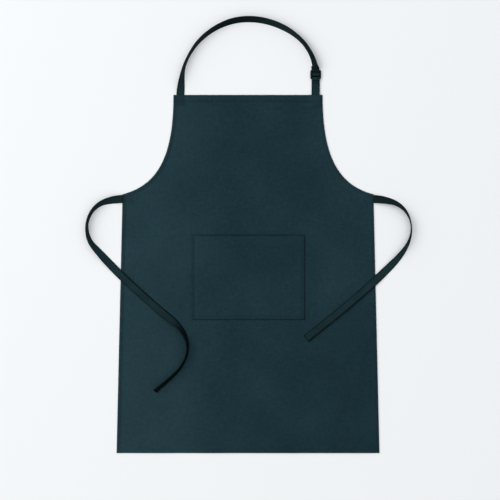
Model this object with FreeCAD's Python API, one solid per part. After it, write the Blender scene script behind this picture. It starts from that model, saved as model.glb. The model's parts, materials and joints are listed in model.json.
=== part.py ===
import FreeCAD, Part
import math
import os
from FreeCAD import Vector

# A bib apron, lying face up on a flat surface. X runs across the apron, Y up towards the neck,
# Z up off the surface. The origin is under the middle of the cloth panel. Millimetres.

# Cloth panel
apron_length = 895.0
bib_width = 372.0
shoulder_width = 627.0  # between the two corners under the armholes
hem_width = 657.0
armhole_drop = 246.0  # from the bib's top edge down to the shoulder corner
armhole_upper_pull = 0.52  # how far down the armhole keeps straight, as a share of its drop
armhole_lower_pull = 0.80  # how far in it keeps its end slope, as a share of its reach
armhole_end_slope = 14.0  # degrees, at the shoulder corner
cloth_thickness = 0.6
hem_layers = 3
side_hem_width = 8.0
bib_hem_width = 16.0
bottom_hem_width = 10.0

# Patch pocket
pocket_width = 278.0
pocket_height = 210.0
pocket_top_y = 97.0
pocket_turning = 12.0  # width of the turned-in edges at the sides and bottom
pocket_mouth_hem = 28.0
pocket_mouth_gap = 0.4  # the mouth hem stands this far off the panel
pocket_corner_cut = 4.0

# Webbing of the neck strap, the buckle tab and the waist ties
webbing_width = 20.0
webbing_thickness = 1.0
strap_inset = 7.0  # from the bib's side edge to the edge of the webbing
sewn_depth = 25.0  # how far the webbing reaches behind the cloth
tie_centre_below_shoulder = 14.0
cover_margin = 2.5  # cloth round a sewn webbing end that is lifted with it

# Three-bar strap slider
slider_length = 22.5
slider_thickness = 2.2
slider_rail_width = 2.4
slider_side_bulge = 0.7
slider_corner_radius = 1.6
slider_edge_radius = 0.4
slider_end_bar = 3.1
slider_middle_bar = 4.3
slider_above_bib = 39.5  # from the bib's edge to the slider's lower edge
webbing_side_play = 0.4  # between the webbing's edge and the slider's rails
bend_beside_bar = 1.3  # how far beside a bar the webbing bends as it leaves it
entry_run = 0.17  # how far above the slider the strap comes flat, for each unit of its width
tab_turn_set_in = 0.4  # the tab's turn is centred this far inside the bar's edge
tab_slope_run = 2.7  # along Y, for each unit that the tab's front layer comes down

# Strap ends
tail_travel = 22.0  # how far the tail can be drawn down towards the bib
tail_stop_gap = 1.2  # left between the tail and the bib at the end of that travel
tie_end_hem = 9.0

# Clearances
moving_gap = 0.5  # between pieces that move against each other
root_gap = 1.3  # beside the panel's edge, which the strap and the ties leave at a slight slope
layer_gap = 0.3  # between layers of webbing that slide on each other
bar_gap = 0.1  # between the webbing and a bar it wraps
tie_over_panel = 0.7  # between the panel's thickest hem and a tie that crosses it

# Thread
thread_width = 0.7
thread_height = 0.3
thread_lift = 0.05  # keeps a row clear of webbing that twists under it
seam_from_fold = 1.5  # a hem's seam lies this far outside its inner fold
pocket_row_inset = 2.0
pocket_row_spacing = 6.0
box_stitch_margin = 3.0
tab_row_inset = 1.4  # from the foot of the tab's slope to the first row across it
tab_row_spacing = 2.8
bartack_length = 12.0
bartack_width = 2.4

# Fineness of the webbing's sections and of the armhole's curve
armhole_arcs = 4
section_spacing = 12.0
arc_deflection = 0.03
arc_share = 0.45  # of the shorter run, that an arc takes up on each side of its point

bib_y = apron_length / 2
hem_y = -apron_length / 2
shoulder_y = bib_y - armhole_drop
hem_thickness = hem_layers * cloth_thickness
tie_y = shoulder_y - tie_centre_below_shoulder
strap_x = bib_width / 2 - strap_inset - webbing_width / 2
fold_y = bib_y + moving_gap  # where the tab's free webbing starts, just clear of the bib's edge
row_gap = 2 * thread_width  # between a row of thread and whatever it stops short of

# Heights of the pocket's front layer, over the panel's single layer and the turned-in edges
pocket_front_bottom = 2 * cloth_thickness
pocket_front_top = 3 * cloth_thickness

# Heights of the layers at the slider
tail_top = webbing_thickness
tab_bottom = tail_top + layer_gap
tab_back_top = tab_bottom + webbing_thickness
slider_bottom = tab_back_top + bar_gap
slider_top = slider_bottom + slider_thickness
over_bar = slider_top + bar_gap
tab_top = tab_bottom + 2 * webbing_thickness
slider_slot = (slider_length - 2 * slider_end_bar - slider_middle_bar) / 2
tab_turn_inner = slider_thickness / 2 + bar_gap
tab_turn_outer = tab_turn_inner + webbing_thickness
tab_turn_reach = tab_turn_outer - tab_turn_set_in  # past the lower bar's edge, into its slot
# Along Y, the strap drops through what the bend beside the bar and the tab's turn leave of the slot.
drop_run = slider_slot - bend_beside_bar - tab_turn_reach - layer_gap - webbing_thickness / 2
slider_low_y = bib_y + slider_above_bib
slider_high_y = slider_low_y + slider_length
tail_length = slider_above_bib - layer_gap - tail_travel - tail_stop_gap
panel_level = hem_thickness + tie_over_panel  # what a tie that crosses the panel lies at

FLOOR = 0.0


def line(a, b):
    return Part.LineSegment(a, b).toShape()


def arc(a, middle, b):
    return Part.Arc(a, middle, b).toShape()


def polygon_face(points):
    return Part.Face(Part.makePolygon(points + [points[0]]))


def rectangle(x0, x1, y0, y1):
    return polygon_face([Vector(x0, y0), Vector(x1, y0), Vector(x1, y1), Vector(x0, y1)])


def prism(flat, z0, z1):
    """Each face of a flat shape, carried up from one height to another."""
    solids = [face.translated(Vector(0, 0, z0)).extrude(Vector(0, 0, z1 - z0)) for face in flat.Faces]
    return solids[0] if len(solids) == 1 else group(solids)


def box(x0, x1, y0, y1, z0, z1):
    return prism(rectangle(x0, x1, y0, y1), z0, z1)


def group(solids):
    return Part.makeCompound(solids)


def save(name, shape):
    if not shape.isValid():
        raise ValueError(f"{name} is not a valid shape")
    shape.exportStep(f"parts/{name}.step")
    print(f"{name}: {len(shape.Solids)} solids, {shape.Volume / 1000:.2f} cm3")


# ---------------------------------------------------------------- cloth panel


def panel_half_width(y):
    """Half the panel's width at a height between the hem and the shoulder corners."""
    share = (shoulder_y - y) / (shoulder_y - hem_y)
    return (shoulder_width + share * (hem_width - shoulder_width)) / 2


def armhole_curve():
    """The right-hand armhole's edge, from the bib's corner down and out to the shoulder corner."""
    reach = (shoulder_width - bib_width) / 2
    pull = armhole_lower_pull * reach
    rise = pull * math.tan(math.radians(armhole_end_slope))
    curve = Part.BezierCurve()
    curve.setPoles([
        Vector(bib_width / 2, bib_y),
        Vector(bib_width / 2, bib_y - armhole_upper_pull * armhole_drop),
        Vector(shoulder_width / 2 - pull, shoulder_y + rise),
        Vector(shoulder_width / 2, shoulder_y),
    ])
    return curve


def moved_in(curve, at, distance):
    """The point of the armhole's edge at a parameter from 0 to 1, moved into the cloth."""
    along = curve.tangent(at)[0]
    return curve.value(at) + Vector(along.y, -along.x) * distance


def armhole_edges(points):
    """Arcs end to end through the points, which are their ends and middles in turn."""
    return [arc(points[i], points[i + 1], points[i + 2]) for i in range(0, len(points) - 2, 2)]


def panel_face(inset=0.0):
    """The panel's outline, or the same outline moved in by a distance. The armhole's curve is
    cut back at both ends by as much as the corners there take off it."""
    curve = armhole_curve()
    side_slope = (hem_width - shoulder_width) / 2 / (shoulder_y - hem_y)
    shoulder_angle = math.pi / 2 + math.radians(armhole_end_slope) + math.atan(side_slope)
    poles = curve.getPoles()
    first = inset / (3 * poles[0].distanceToPoint(poles[1]))
    last = 1 - inset / math.tan(shoulder_angle / 2) / (3 * poles[2].distanceToPoint(poles[3]))
    count = 2 * armhole_arcs
    down_right = [moved_in(curve, first + (last - first) * i / count, inset) for i in range(count + 1)]
    up_right = down_right[::-1]
    down_left = [Vector(-p.x, p.y) for p in down_right]
    foot_x = panel_half_width(hem_y + inset) - inset * math.sqrt(1 + side_slope**2)
    foot_right, foot_left = Vector(foot_x, hem_y + inset), Vector(-foot_x, hem_y + inset)
    edges = [line(foot_left, foot_right), line(foot_right, up_right[0])]
    edges += armhole_edges(up_right) + [line(up_right[-1], down_left[0])] + armhole_edges(down_left)
    edges.append(line(down_left[-1], foot_left))
    return Part.Face(Part.Wire(edges))


class SewnEnd:
    """The end of a piece of webbing, flat behind the cloth from its outer end inwards."""

    def __init__(self, x0, x1, y0, y1, bottom, layers):
        self.x0, self.x1 = sorted((x0, x1))
        self.y0, self.y1 = y0, y1
        self.bottom = bottom
        self.top = bottom + layers * webbing_thickness

    def solid(self):
        return box(self.x0, self.x1, self.y0, self.y1, self.bottom, self.top)

    def recess(self):
        """The space under the cloth that the end lies in, open to the surface below."""
        return box(self.x0, self.x1, self.y0, self.y1, FLOOR, self.top)

    def footprint(self, margin):
        return rectangle(self.x0 - margin, self.x1 + margin, self.y0 - margin, self.y1 + margin)

    def stitch_box(self):
        """Thread seen from the front: a rectangle with both diagonals."""
        x0, x1 = self.x0 + box_stitch_margin, self.x1 - box_stitch_margin
        y0, y1 = self.y0 + box_stitch_margin, self.y1 - box_stitch_margin
        corners = [Vector(x0, y0), Vector(x1, y0), Vector(x1, y1), Vector(x0, y1)]
        rows = [run_of_thread(corners[i], corners[(i + 1) % 4]) for i in range(4)]
        rows.append(run_of_thread(corners[0], corners[2]))
        rows.append(run_of_thread(corners[1], corners[3]))
        return rows[0].multiFuse(rows[1:])


def strap_end(side, bottom, layers):
    centre = side * strap_x
    half = webbing_width / 2
    return SewnEnd(centre - half, centre + half, bib_y - sewn_depth, bib_y, bottom, layers)


def panel_half_widths_at_tie():
    """Half the panel's width at the lower and the upper edge of a tie."""
    return [panel_half_width(tie_y + side * webbing_width / 2) for side in (-1, 1)]


def tie_end(side):
    half = webbing_width / 2
    outer = min(panel_half_widths_at_tie())
    return SewnEnd(side * outer, side * (outer - sewn_depth), tie_y - half, tie_y + half, FLOOR, 1)


def run_of_thread(a, b):
    """The footprint of a straight run of thread between two points."""
    along = (b - a).normalize() * (thread_width / 2)
    across = Vector(-along.y, along.x)
    return polygon_face([a - along - across, b + along - across, b + along + across, a - along + across])


def cloth_with_hems():
    """The panel before anything is sewn behind it: one layer, and three along every edge."""
    single = panel_face(side_hem_width).common(
        rectangle(-hem_width, hem_width, hem_y + bottom_hem_width, bib_y - bib_hem_width)
    )
    return prism(panel_face(), FLOOR, hem_thickness).cut(prism(single, cloth_thickness, 2 * hem_thickness))


def make_panel(ends):
    """The panel with the cloth lifted over each sewn end, and a recess that the end lies in."""
    outline = panel_face()
    panel = cloth_with_hems()
    for end in ends:
        lifted = outline.common(end.footprint(cover_margin))
        panel = panel.fuse(prism(lifted, FLOOR, end.top + hem_thickness))
    for end in ends:
        panel = panel.cut(end.recess())
    return panel.removeSplitter()


# ---------------------------------------------------------------- thread on cloth


def thread(footprint, level):
    """Thread lying on a flat face at that level; crossing rows are joined."""
    runs = prism(footprint, level, level + thread_height).Solids
    joined = runs[0].multiFuse(runs[1:]).removeSplitter() if len(runs) > 1 else runs[0]
    return group(joined.Solids)


def seam_round_outline():
    """The footprint of a seam all round the panel, just outside the fold of its side hems."""
    middle = side_hem_width - seam_from_fold
    return panel_face(middle - thread_width / 2).cut(panel_face(middle + thread_width / 2))


def make_panel_seams():
    around = seam_round_outline()
    bib_row_y = bib_y - bib_hem_width + seam_from_fold
    bottom_row_y = hem_y + bottom_hem_width - seam_from_fold
    tie_cover_low = tie_y - webbing_width / 2 - cover_margin - row_gap
    tie_cover_high = tie_y + webbing_width / 2 + cover_margin + row_gap
    strap_cover_low = bib_y - sewn_depth - cover_margin - row_gap
    for name, side in (("left", -1), ("right", 1)):
        outer = side * hem_width
        armhole_zone = rectangle(min(0, outer), max(0, outer), tie_cover_high, strap_cover_low)
        side_zone = rectangle(min(0, outer), max(0, outer), bottom_row_y + row_gap, tie_cover_low)
        save(f"armhole_stitching_{name}", thread(around.common(armhole_zone), hem_thickness))
        save(f"side_hem_stitching_{name}", thread(around.common(side_zone), hem_thickness))
    bib_half = bib_width / 2 - strap_inset - webbing_width - cover_margin - row_gap
    bottom_half = panel_half_width(bottom_row_y) - side_hem_width + seam_from_fold
    bib_row = run_of_thread(Vector(-bib_half, bib_row_y), Vector(bib_half, bib_row_y))
    bottom_row = run_of_thread(Vector(-bottom_half, bottom_row_y), Vector(bottom_half, bottom_row_y))
    save("bib_hem_stitching", thread(bib_row, hem_thickness))
    save("bottom_hem_stitching", thread(bottom_row, hem_thickness))


# ---------------------------------------------------------------- patch pocket


def pocket_face():
    half = pocket_width / 2
    top, bottom, cut = pocket_top_y, pocket_top_y - pocket_height, pocket_corner_cut
    return polygon_face([
        Vector(-half, bottom),
        Vector(half, bottom),
        Vector(half, top - cut),
        Vector(half - cut, top),
        Vector(-half + cut, top),
        Vector(-half, top - cut),
    ])


def make_pocket():
    """One layer held off the panel by its turned-in sides and bottom, open along the top."""
    face = pocket_face()
    half = pocket_width / 2 - pocket_turning
    inside = rectangle(-half, half, pocket_top_y - pocket_height + pocket_turning, pocket_top_y)
    mouth_zone = rectangle(-half, half, pocket_top_y - pocket_mouth_hem, pocket_top_y)
    turned = prism(face.cut(inside), cloth_thickness, pocket_front_top)
    front = prism(face, pocket_front_bottom, pocket_front_top)
    mouth = prism(face.common(mouth_zone), cloth_thickness + pocket_mouth_gap, pocket_front_top)
    return turned.fuse(front).fuse(mouth).removeSplitter()


def pocket_row(distance):
    """A row of thread down one side, along the bottom and up the other side."""
    half = pocket_width / 2 - distance
    bottom = pocket_top_y - pocket_height + distance
    top = pocket_top_y - pocket_corner_cut - bartack_length - row_gap
    left, right = Vector(-half, bottom), Vector(half, bottom)
    down_left = run_of_thread(Vector(-half, top), left)
    up_right = run_of_thread(right, Vector(half, top))
    return down_left.multiFuse([run_of_thread(left, right), up_right])


def make_pocket_seams():
    rows = [pocket_row(pocket_row_inset), pocket_row(pocket_row_inset + pocket_row_spacing)]
    edge_thread = [solid for row in rows for solid in thread(row, pocket_front_top).Solids]
    save("pocket_edge_stitching", group(edge_thread))
    mouth_y = pocket_top_y - pocket_mouth_hem + seam_from_fold
    mouth_half = pocket_width / 2 - pocket_row_inset - pocket_row_spacing - row_gap
    mouth = run_of_thread(Vector(-mouth_half, mouth_y), Vector(mouth_half, mouth_y))
    save("pocket_mouth_stitching", thread(mouth, pocket_front_top))
    tacks = []
    top = pocket_top_y - pocket_corner_cut
    half = bartack_width / 2
    for side in (-1, 1):
        x = side * (pocket_width / 2 - pocket_row_inset - half)
        tack = rectangle(x - half, x + half, top - bartack_length, top)
        tacks += thread(tack, pocket_front_top).Solids
    save("pocket_bartacks", group(tacks))


# ---------------------------------------------------------------- webbing


def rounded_path(points, radius=None):
    """Straight runs joined by tangent arcs. Returns the wire, and how far along it each point lies.
    Each arc is as large as its two runs allow, unless a radius is given."""
    edges, stops, radii = [], [0.0], []
    start, travelled = points[0], 0.0
    for before, corner, after in zip(points, points[1:], points[2:]):
        back, ahead = (before - corner), (after - corner)
        shorter = min(back.Length, ahead.Length)
        half_turn = (math.pi - back.getAngle(ahead)) / 2
        trim = radius * math.tan(half_turn) if radius else arc_share * shorter
        arc_radius = trim / math.tan(half_turn)
        a, b = corner + back.normalize() * trim, corner + ahead.normalize() * trim
        inward = (a + b) * 0.5 - corner
        middle = corner + inward.normalize() * (arc_radius / math.cos(half_turn) - arc_radius)
        edges += [line(start, a), arc(a, middle, b)]
        travelled += edges[-2].Length + edges[-1].Length / 2
        stops.append(travelled)
        travelled += edges[-1].Length / 2
        radii.append(round(arc_radius, 1))
        start = b
    edges.append(line(start, points[-1]))
    stops.append(travelled + edges[-1].Length)
    return Part.Wire(edges), stops, radii


def between(stops, values, at):
    """The value at a distance along a path, in a straight line between the values at its points."""
    for i in range(len(stops) - 1):
        if at <= stops[i + 1]:
            share = (at - stops[i]) / (stops[i + 1] - stops[i])
            return values[i] + share * (values[i + 1] - values[i])
    return values[-1]


def laid_stations(name, route):
    """Stations (centre, width direction) along webbing that lies on a surface.
    A route point is (x, y, lean, ground): lean in degrees raises the left-hand edge, or the
    right-hand one if negative, and ground is the height of what the lower edge rests on."""
    plan = [Vector(x, y) for x, y, lean, ground in route]
    wire, stops, radii = rounded_path(plan)
    print(f"{name}: radii {radii} mm")
    count = math.ceil(wire.Length / section_spacing) + 1
    flat = wire.discretize(Number=count)
    stations = []
    for i, point in enumerate(flat):
        at = wire.Length * i / (count - 1)
        lean = math.radians(between(stops, [r[2] for r in route], at))
        ground = between(stops, [r[3] for r in route], at)
        ahead = flat[min(i + 1, count - 1)] - flat[max(i - 1, 0)]
        left = Vector(-ahead.y, ahead.x).normalize()
        rise = webbing_width / 2 * abs(math.sin(lean)) + webbing_thickness / 2 * abs(math.cos(lean))
        centre = point + Vector(0, 0, ground + rise)
        stations.append((centre, left * math.cos(lean) + Vector(0, 0, math.sin(lean))))
    return stations


def threaded_stations(x, path):
    """Stations along webbing that keeps flat across X while it goes up and down: path is (y, z)."""
    wire = rounded_path([Vector(x, y, z) for y, z in path], radius=webbing_thickness)[0]
    return [(point, Vector(1, 0, 0)) for point in wire.discretize(Deflection=arc_deflection)]


def section_corners(stations, i):
    """The corners of the webbing's section at a station, square to the way the webbing runs."""
    centre, across = stations[i]
    behind, beyond = stations[max(i - 1, 0)][0], stations[min(i + 1, len(stations) - 1)][0]
    ahead = (beyond - behind).normalize()
    wide = (across - ahead * across.dot(ahead)).normalize() * (webbing_width / 2)
    thick = ahead.cross(wide).normalize() * (webbing_thickness / 2)
    under, over = centre - thick, centre + thick
    return [under - wide, under + wide, over + wide, over - wide]


def ribbon(name, stations):
    """A closed solid of webbing through its section at each station."""
    sections, length = [], 0.0
    for i in range(len(stations)):
        corners = section_corners(stations, i)
        sections.append(Part.makePolygon(corners + [corners[0]]))
        length += (stations[i][0] - stations[max(i - 1, 0)][0]).Length
    solid = Part.makeLoft(sections, True, True)
    expected = length * webbing_width * webbing_thickness
    print(f"{name}: {length:.0f} mm long, volume {solid.Volume / expected:.3f} of section x length")
    return solid


def cross_seam(stations, from_end, side):
    """A row of thread across webbing, a distance in from its last station, on one face of it."""
    last = section_corners(stations, len(stations) - 1)
    before = section_corners(stations, len(stations) - 2)
    share = from_end / (stations[-1][0] - stations[-2][0]).Length
    section = [a + (b - a) * share for a, b in zip(last, before)]
    left, right = (section[3], section[2]) if side > 0 else (section[0], section[1])
    inset = (right - left).normalize() * box_stitch_margin
    ahead = (stations[-1][0] - stations[-2][0]).normalize() * (thread_width / 2)
    up = ahead.cross(inset) * side
    lift = up.normalize() * thread_lift
    left, right = left + inset + lift, right - inset + lift
    row = polygon_face([left - ahead, right - ahead, right + ahead, left + ahead])
    return row.extrude(lift.normalize() * thread_height)


# Routes of the webbing: (x, y, lean, ground). The ends of the neck strap are fixed to the bib
# and to the tab, and the ties start at the panel's edge, so x and y count from there.

neck_left_route = [
    (0, 0, 0, FLOOR),
    (3, 41, 58, FLOOR),
    (13, 82, 79, FLOOR),
    (42, 130, 69, FLOOR),
    (86, 166, 60, FLOOR),
    (140, 187, 43, FLOOR),
]
neck_right_route = [
    (-138, 188, 42, FLOOR),
    (-80, 169, 46, FLOOR),
    (-34, 136, 61, FLOOR),
    (-9, 98, 56, FLOOR),
]
left_tie_route = [
    (0, 0, 0, FLOOR),
    (-40, -3, -48, FLOOR),
    (-73.5, -26.5, -70, FLOOR),
    (-88.5, -63.5, -79, FLOOR),
    (-82, -104.5, -62, FLOOR),
    (-56, -134, -33, FLOOR),
    (-18, -176, 0, panel_level),
    (41, -232, 7, panel_level),
    (101, -284, -6, panel_level),
    (150, -322, -50, panel_level),
    (169, -367, -78, panel_level),
    (155, -414, -78, panel_level),
    (119, -451, -72, panel_level),
    (83, -480, -62, panel_level),
]
right_tie_route = [
    (0, 0, 0, FLOOR),
    (41, -3, -42, FLOOR),
    (77, -25, -62, FLOOR),
    (94, -63, -79, FLOOR),
    (89, -105, -66, FLOOR),
    (63, -145, -36, FLOOR),
    (16, -192, 0, panel_level),
    (-41, -244, 8, panel_level),
    (-105, -297, 10, panel_level),
    (-170, -349, 8, panel_level),
]


def placed(route, x, y):
    """A route moved to where its webbing starts."""
    return [(x + dx, y + dy, lean, ground) for dx, dy, lean, ground in route]


def tie_root_x():
    """Just outside the panel's edge over the tie's whole width."""
    return max(panel_half_widths_at_tie()) + root_gap


def make_tie(name, side, route):
    """One waist tie, and the row of thread across its turned end."""
    stations = laid_stations(name, placed(route, side * tie_root_x(), tie_y))
    save(name, ribbon(name, stations))
    save(f"{name}_end_stitching", group([cross_seam(stations, tie_end_hem, face) for face in (1, -1)]))


# ---------------------------------------------------------------- slider, tab and neck strap


def make_slider():
    half = webbing_width / 2 + webbing_side_play + slider_rail_width
    left, right = strap_x - half, strap_x + half
    low, high = slider_low_y, slider_high_y
    middle = (low + high) / 2
    corners = [Vector(left, low), Vector(right, low), Vector(right, high), Vector(left, high)]
    outline = Part.Wire([
        line(corners[0], corners[1]),
        arc(corners[1], Vector(right + slider_side_bulge, middle), corners[2]),
        line(corners[2], corners[3]),
        arc(corners[3], Vector(left - slider_side_bulge, middle), corners[0]),
    ])
    plate = prism(Part.Face(outline), slider_bottom, slider_top)
    upright = [edge for edge in plate.Edges if edge.BoundBox.ZLength > slider_thickness / 2]
    plate = plate.makeFillet(slider_corner_radius, upright)
    rims = [edge for edge in plate.Edges if edge.BoundBox.ZLength < slider_thickness / 2]
    plate = plate.makeFillet(slider_edge_radius, rims)
    opening = webbing_width / 2 + webbing_side_play
    x0, x1 = strap_x - opening, strap_x + opening
    for slot_low in (low + slider_end_bar, high - slider_end_bar - slider_slot):
        plate = plate.cut(box(x0, x1, slot_low, slot_low + slider_slot, FLOOR, 2 * slider_top))
    return plate


def make_tab():
    """Doubled webbing from the bib to the slider, where its fold wraps the slider's lower bar."""
    bar_low, bar_high = slider_low_y, slider_low_y + slider_end_bar
    axis_z = slider_bottom + slider_thickness / 2
    turn_y = bar_high - tab_turn_set_in
    drop = over_bar - tab_back_top
    foot_y = bar_low - tab_slope_run * drop
    slope = math.atan2(drop, bar_low - foot_y)
    shift = webbing_thickness * math.tan(slope / 2)
    inner, outer = tab_turn_inner, tab_turn_outer

    def at(y, z):
        return Vector(strap_x - webbing_width / 2, y, z)

    outside = Part.Wire([
        line(at(fold_y, tab_bottom), at(turn_y, tab_bottom)),
        arc(at(turn_y, tab_bottom), at(turn_y + outer, axis_z), at(turn_y, axis_z + outer)),
        line(at(turn_y, axis_z + outer), at(bar_low, axis_z + outer)),
        line(at(bar_low, axis_z + outer), at(foot_y, tab_top)),
        line(at(foot_y, tab_top), at(fold_y, tab_top)),
        line(at(fold_y, tab_top), at(fold_y, tab_bottom)),
    ])
    inside = Part.Wire([
        line(at(foot_y + shift, tab_back_top), at(turn_y, tab_back_top)),
        arc(at(turn_y, tab_back_top), at(turn_y + inner, axis_z), at(turn_y, axis_z + inner)),
        line(at(turn_y, axis_z + inner), at(bar_low + shift, axis_z + inner)),
        line(at(bar_low + shift, axis_z + inner), at(foot_y + shift, tab_back_top)),
    ])
    profile = Part.Face(outside).cut(Part.Face(inside))
    return profile.extrude(Vector(webbing_width, 0, 0)), foot_y


def slider_threading():
    """The strap's way through the slider, (y, z): under the upper bar, over the middle one, down
    through the lower slot."""
    half = webbing_thickness / 2
    upper_slot_high = slider_high_y - slider_end_bar
    middle_high = upper_slot_high - slider_slot
    middle_low = middle_high - slider_middle_bar
    return [
        (slider_high_y + entry_run * webbing_width, tab_bottom + half),
        (upper_slot_high - bend_beside_bar, tab_bottom + half),
        (middle_high + bend_beside_bar, over_bar + half),
        (middle_low - bend_beside_bar, over_bar + half),
        (middle_low - bend_beside_bar - drop_run, half),
        (slider_low_y, half),
    ]


def make_neck_strap():
    threading = slider_threading()
    left = placed(neck_left_route, -strap_x, bib_y + root_gap)
    right = placed(neck_right_route, strap_x, fold_y)
    slider_entry = (strap_x, threading[0][0], 0, tab_bottom)
    stations = laid_stations("neck_strap", left + right + [slider_entry])[:-1]
    stations += threaded_stations(strap_x, threading)
    return ribbon("neck_strap", stations)


def make_tail():
    top = slider_low_y - layer_gap
    half = webbing_width / 2
    return box(strap_x - half, strap_x + half, top - tail_length, top, FLOOR, tail_top)


def make_tab_seam(foot_y):
    half = webbing_width / 2 - box_stitch_margin / 2
    rows = []
    for y in (foot_y - tab_row_inset, foot_y - tab_row_inset - tab_row_spacing):
        row = run_of_thread(Vector(strap_x - half, y), Vector(strap_x + half, y))
        rows += thread(row, tab_top).Solids
    return group(rows)


os.makedirs("parts", exist_ok=True)

neck_end = strap_end(-1, FLOOR, 1)
tab_end = strap_end(1, tab_bottom, 2)
left_tie_end, right_tie_end = tie_end(-1), tie_end(1)

panel = make_panel([neck_end, tab_end, left_tie_end, right_tie_end])
save("body_panel", panel)
make_panel_seams()

save("neck_strap_sewn_end", neck_end.solid())
save("buckle_tab_sewn_end", tab_end.solid())
save("waist_tie_left_sewn_end", left_tie_end.solid())
save("waist_tie_right_sewn_end", right_tie_end.solid())
save("neck_strap_box_stitch", thread(neck_end.stitch_box(), neck_end.top + hem_thickness))
save("buckle_tab_box_stitch", thread(tab_end.stitch_box(), tab_end.top + hem_thickness))
save("waist_tie_left_box_stitch", thread(left_tie_end.stitch_box(), left_tie_end.top + hem_thickness))
save("waist_tie_right_box_stitch", thread(right_tie_end.stitch_box(), right_tie_end.top + hem_thickness))

pocket = make_pocket()
save("pocket", pocket)
make_pocket_seams()

tab, tab_foot_y = make_tab()
save("buckle_tab", tab)
save("buckle_tab_stitching", make_tab_seam(tab_foot_y))
save("strap_slider", make_slider())
save("neck_strap", make_neck_strap())
save("neck_strap_tail", make_tail())

make_tie("waist_tie_left", -1, left_tie_route)
make_tie("waist_tie_right", 1, right_tie_route)
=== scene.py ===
import bpy
import json
import math
import numpy as np
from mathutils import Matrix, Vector
from mathutils.geometry import delaunay_2d_cdt

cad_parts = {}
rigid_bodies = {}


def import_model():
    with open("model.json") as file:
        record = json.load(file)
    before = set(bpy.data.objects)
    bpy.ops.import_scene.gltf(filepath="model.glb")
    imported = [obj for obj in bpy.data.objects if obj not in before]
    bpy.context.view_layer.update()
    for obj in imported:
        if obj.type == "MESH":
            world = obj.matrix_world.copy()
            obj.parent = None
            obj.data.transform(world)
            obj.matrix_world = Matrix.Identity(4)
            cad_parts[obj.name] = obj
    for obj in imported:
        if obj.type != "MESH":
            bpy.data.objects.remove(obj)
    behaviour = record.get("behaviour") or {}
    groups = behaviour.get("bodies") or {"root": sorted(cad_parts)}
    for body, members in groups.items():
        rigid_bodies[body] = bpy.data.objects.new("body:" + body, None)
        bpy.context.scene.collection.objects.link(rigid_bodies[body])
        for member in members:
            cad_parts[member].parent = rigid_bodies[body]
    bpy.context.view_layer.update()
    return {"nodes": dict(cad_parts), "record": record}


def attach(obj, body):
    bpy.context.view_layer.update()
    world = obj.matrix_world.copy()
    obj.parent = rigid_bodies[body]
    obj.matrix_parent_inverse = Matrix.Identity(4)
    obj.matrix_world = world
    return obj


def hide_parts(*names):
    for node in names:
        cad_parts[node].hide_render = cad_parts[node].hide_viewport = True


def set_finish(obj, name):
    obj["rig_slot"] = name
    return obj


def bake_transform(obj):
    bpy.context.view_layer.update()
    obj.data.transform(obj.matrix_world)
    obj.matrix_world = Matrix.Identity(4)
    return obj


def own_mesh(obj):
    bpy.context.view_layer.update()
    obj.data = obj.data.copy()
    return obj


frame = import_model()

# A bib apron that lies face up. Lengths are in millimetres in the CAD's frame; objects are made in metres.
BIB_Y, HEM_Y, SHOULDER_Y = 447.5, -447.5, 199.4
BIB_HALF, SHOULDER_HALF, HEM_HALF = 186.4, 313.5, 328.5
ARMHOLE_SLOPE = 14.0  # degrees, at the shoulder corner
SINGLE, HEM = 0.6, 1.8  # thickness of one layer of cloth, and of a hem
SIDE_HEM, BIB_HEM, BOTTOM_HEM = 8.0, 16.0, 10.0  # widths of the hems
SEAM_FROM_FOLD = 1.5  # a hem's seam lies this far outside its inner fold
TIE_Y, STRAP_X = 187.5, 169.0
HALF_WEBBING, HALF_THICK = 10.0, 0.5  # half the webbing's width and thickness
POCKET = (-138.4, 141.0, -113.4, 96.8)  # its left, right, lower and upper edge
STITCH, SHORT_STITCH = 3.0, 2.6  # from one stitch to the next: in a seam, and in webbing and bartacks


# ------------------------------------------------------------------ meshes


def mesh_object(name, verts_mm, faces, uvs=None):
    """A smooth-shaded mesh from points in millimetres. uvs holds one pair for each point."""
    mesh = bpy.data.meshes.new(name)
    mesh.from_pydata([(x / 1000, y / 1000, z / 1000) for x, y, z in verts_mm], [], faces)
    mesh.polygons.foreach_set("use_smooth", [True] * len(mesh.polygons))
    if uvs is not None:
        layer = mesh.uv_layers.new(name="UVMap")
        index = np.zeros(len(mesh.loops), int)
        mesh.loops.foreach_get("vertex_index", index)
        layer.data.foreach_set("uv", np.asarray(uvs, float)[index].ravel())
    mesh.update()
    obj = bpy.data.objects.new(name, mesh)
    bpy.context.scene.collection.objects.link(obj)
    return obj


def smooth_step(low, high, value):
    """0 below low and 1 above high, with a smooth rise between them; low may be the larger one."""
    t = np.clip((np.asarray(value, float) - low) / (high - low), 0, 1)
    return t * t * (3 - 2 * t)


# ------------------------------------------------------------------ the cloth's outline


def bezier(points, t):
    """Points of a cubic Bezier curve at parameters t, from 0 to 1."""
    a, b, c, d = [np.array(p, float) for p in points]
    t = np.asarray(t, float)[:, None]
    return a * (1 - t) ** 3 + 3 * b * t * (1 - t) ** 2 + 3 * c * t**2 * (1 - t) + d * t**3


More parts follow.
